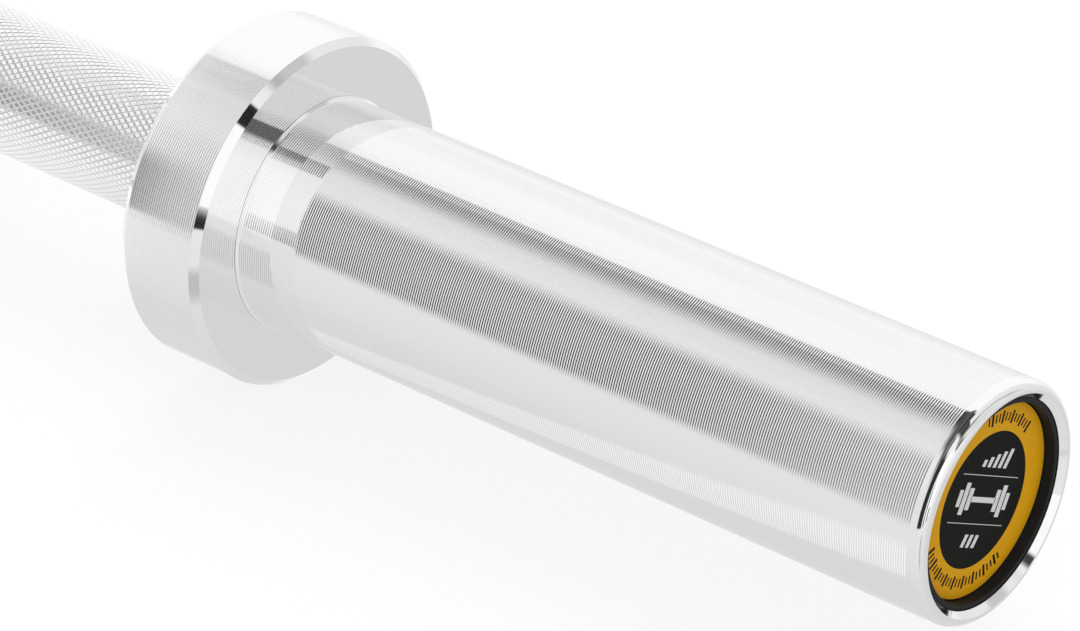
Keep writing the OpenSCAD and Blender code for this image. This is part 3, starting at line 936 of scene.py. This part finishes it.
class BAR_OT_stage(bpy.types.Operator):
    """Lays the floor, hangs the studio's light round the bar and sets up the camera"""

    bl_idname = "bar.stage"
    bl_label = "Stage"

    camera_place = (0.7093, -0.6919, 0.5481)
    camera_turn = (math.radians(58.51), 0.0, math.radians(39.53))
    lens = 175.93
    sensor = 36.0
    clip_near = 0.01
    clip_far = 20.0
    floor_size = 6.0
    paper = 0.93
    shadow_share = 0.22
    sky = 0.88
    backdrop = 1.0

    # Turns about the bar are in degrees up from the front, and begin here.
    first_turn = -60.0

    # Where along the bar, from -1 to 1, the walls ahead begin to show, and where they show alone.
    ahead_from = 0.0
    ahead_full = 0.2

    # How bright the studio's walls are at each turn about the bar, as surfaces mirror them that
    # look back along the bar, and ahead beyond its right end.
    walls_behind = (
        (-60, 0.76), (-40, 0.80), (-20, 0.82), (12, 0.80), (22, 0.83), (35, 0.87), (48, 0.88),
        (62, 0.84), (82, 0.79), (106, 0.68), (108, 1.04), (172, 1.04), (184, 0.99), (193, 0.90),
        (204, 0.92), (212, 1.0), (226, 1.0), (232, 0.90), (240, 0.76), (250, 0.72), (290, 0.74))
    walls_ahead = (
        (-60, 0.77), (-36, 0.83), (-14, 0.84), (10, 0.93), (95, 0.93), (104, 0.86), (155, 0.86),
        (185, 0.81), (200, 0.79), (212, 0.73), (218, 0.70), (250, 0.72), (290, 0.76))

    # Cards hung before the walls. Each has the turn at which it begins and how soft that edge
    # is, the same for its end, where it begins and ends along the bar, from -1 to 1, how soft
    # these edges are, and its brightness.
    cards = (
        (-70, 1, 310, 1, -1.30, -0.85, 0.02, 1.10),
        (-70, 1, 310, 1, -0.66, -0.609, 0.003, 1.00),
        (-5, 2, 32, 14, -0.66, -0.597, 0.004, 0.72),
        (-5, 2, 32, 8, -0.66, -0.609, 0.003, 0.16),
        (-11, 6, 56, 10, -0.84, -0.68, 0.06, 0.02),
        (86, 9, 107, 2, -0.585, -0.10, 0.01, 0.05),
        (64, 8, 107, 2, -0.462, -0.40, 0.008, 0.08),
        (42, 26, 107, 2, -0.42, -0.16, 0.03, 0.10),
        (56, 3, 78, 3, -0.12, 0.07, 0.03, 0.08),
        (-5, 1, 60, 6, -0.18, 0.325, 0.008, 0.03),
        (80, 3, 96, 1, 0.12, 0.60, 0.03, 0.05),
        (80, 3, 104, 1, -0.18, 0.12, 0.03, 0.05),
        (-2, 3, 64, 10, 0.39, 0.68, 0.02, 1.17),
        (-5, 1, 34, 14, 0.44, 0.55, 0.02, 0.05),
        (-5, 1, 74, 1, 0.66, 0.86, 0.02, 1.05),
        (-50, 6, -16, 4, 0.50, 0.66, 0.02, 0.55),
        (104, 6, 178, 10, 0.50, 0.66, 0.03, 0.60),
        (104, 6, 178, 10, 0.74, 0.90, 0.03, 0.72),
        (76, 3, 112, 8, 0.50, 0.66, 0.03, 0.25),
        (78, 3, 100, 8, 0.79, 0.86, 0.01, 0.05),
        (-6, 1, 10, 1, 0.70, 0.78, 0.01, 0.02),
        (75, 1, 91, 1, 0.70, 0.78, 0.01, 0.02),
    )

    def execute(self, context):
        self.lay_floor()
        self.light_world(context.scene)
        self.hang_lamp("key_lamp", place=(-0.5, 0.6, 1.6), size=1.4, power=9.0)
        self.hang_lamp("fill_lamp", place=(0.9, -1.2, 1.3), size=1.2, power=5.0)
        self.set_camera(context.scene)
        return {"FINISHED"}

    def lay_floor(self):
        select_only()
        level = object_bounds()[0][2]
        bpy.ops.mesh.primitive_plane_add(size=self.floor_size, location=(0, 0, level))
        floor = bpy.context.object
        floor.name = "floor"
        material = bpy.data.materials.new("floor_white")
        material.use_nodes = True
        shader = Shader(material.node_tree)
        shader.tree.nodes.clear()
        paper = shader.node("BsdfDiffuse", None, {"Color": rgba((self.paper,) * 3)})
        glow = shader.node("Emission", None, {"Color": (1, 1, 1, 1), "Strength": self.backdrop})
        camera = shader.node("LightPath", output="Is Camera Ray")
        blend = shader.node(
            "MixShader", None, {0: camera * (1 - self.shadow_share), 1: paper, 2: glow})
        shader.node("OutputMaterial", None, {"Surface": blend})
        floor.data.materials.append(material)
        floor.visible_glossy = False
        floor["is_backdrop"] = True

    def light_world(self, scene):
        """An even sky for matt surfaces, and the studio's cards for mirroring ones."""
        world = bpy.data.worlds.new("studio")
        scene.world = world
        world.use_nodes = True
        world.cycles.sampling_method = "NONE"
        shader = Shader(world.node_tree)
        shader.tree.nodes.clear()
        way = shader.node("TexCoord", output="Generated")
        along, back, up = (
            shader.node("SeparateXYZ", None, {"Vector": way}, output=axis) for axis in "XYZ")
        turn = shader.node("Math", {"operation": "ARCTAN2"}, {0: up, 1: -back}) * math.degrees(1)
        turn = shader.node(
            "Math", {"operation": "WRAP"},
            {0: turn, 1: self.first_turn + FULL_TURN, 2: self.first_turn})
        behind, ahead = (
            self.walls(shader, turn, stops) for stops in (self.walls_behind, self.walls_ahead))
        share_ahead = shader.step(along, self.ahead_from, self.ahead_full)
        mirrored = behind + share_ahead * (ahead - behind)
        for start, soft, end, end_soft, left, right, fade, bright in self.cards:
            mask = (
                shader.step(turn, start - soft, start + soft)
                * (1 - shader.step(turn, end - end_soft, end + end_soft))
                * shader.step(along, left - fade, left + fade)
                * (1 - shader.step(along, right - fade, right + fade)))
            mirrored = mirrored + mask * (bright - mirrored)
        glossy = shader.node("LightPath", output="Is Glossy Ray")
        camera = shader.node("LightPath", output="Is Camera Ray")
        level = (
            self.sky + glossy * (mirrored - self.sky) + camera * (self.backdrop - self.sky))
        glow = shader.node("Background", None, {"Color": (1, 1, 1, 1), "Strength": level})
        shader.node("OutputWorld", None, {"Surface": glow})

    def walls(self, shader, turn, stops):
        """The brightness of the walls at a turn about the bar."""
        place = (turn - self.first_turn) * (1 / FULL_TURN)
        shades = [((at - self.first_turn) / FULL_TURN, (shade,) * 3) for at, shade in stops]
        return shader.node("ValToRGB", {"stops": shades}, {0: place})

    def hang_lamp(self, name, place, size, power):
        bpy.ops.object.light_add(type="AREA", location=place)
        lamp = bpy.context.object
        lamp.name = name
        lamp.data.size = size
        lamp.data.energy = power
        lamp.rotation_euler = (-lamp.location).to_track_quat("-Z", "Y").to_euler()
        lamp.visible_glossy = False

    def set_camera(self, scene):
        bpy.ops.object.camera_add(location=self.camera_place, rotation=self.camera_turn)
        camera = bpy.context.object
        camera.name = "camera"
        camera.data.lens = self.lens
        camera.data.sensor_width = self.sensor
        camera.data.sensor_fit = "HORIZONTAL"
        camera.data.clip_start = self.clip_near
        camera.data.clip_end = self.clip_far
        bpy.context.scene.camera = camera
        scene.view_settings.view_transform = "Standard"


class BAR_PT_panel(bpy.types.Panel):
    """Lists the pieces, their sizes and their colours"""

    bl_idname = "BAR_PT_panel"
    bl_label = "Dumbbell bar"
    bl_space_type = "VIEW_3D"
    bl_region_type = "UI"
    bl_category = "Dumbbell bar"

    def draw(self, context):
        for group in (context.scene.bar_sizes, context.scene.bar_colours):
            box = self.layout.box()
            for name in group.__annotations__:
                box.prop(group, name)
        for operator in OPERATORS:
            self.layout.operator(operator.bl_idname)


OPERATORS = (
    BAR_OT_inks, BAR_OT_shaft, BAR_OT_sleeves, BAR_OT_collars,
    BAR_OT_labels, BAR_OT_inner_parts, BAR_OT_stage,
)
CLASSES = (BarSizes, BarColours, *OPERATORS, BAR_PT_panel)


def register():
    for item in CLASSES:
        bpy.utils.register_class(item)
    bpy.types.Scene.bar_sizes = bpy.props.PointerProperty(type=BarSizes)
    bpy.types.Scene.bar_colours = bpy.props.PointerProperty(type=BarColours)


def unregister():
    del bpy.types.Scene.bar_colours
    del bpy.types.Scene.bar_sizes
    for item in reversed(CLASSES):
        bpy.utils.unregister_class(item)


def main():
    register()
    bpy.ops.bar.inks()
    bpy.ops.bar.shaft()
    bpy.ops.bar.sleeves()
    bpy.ops.bar.collars()
    bpy.ops.bar.labels()
    bpy.ops.bar.inner_parts()
    bpy.ops.bar.stage()


if __name__ == "__main__":
    main()
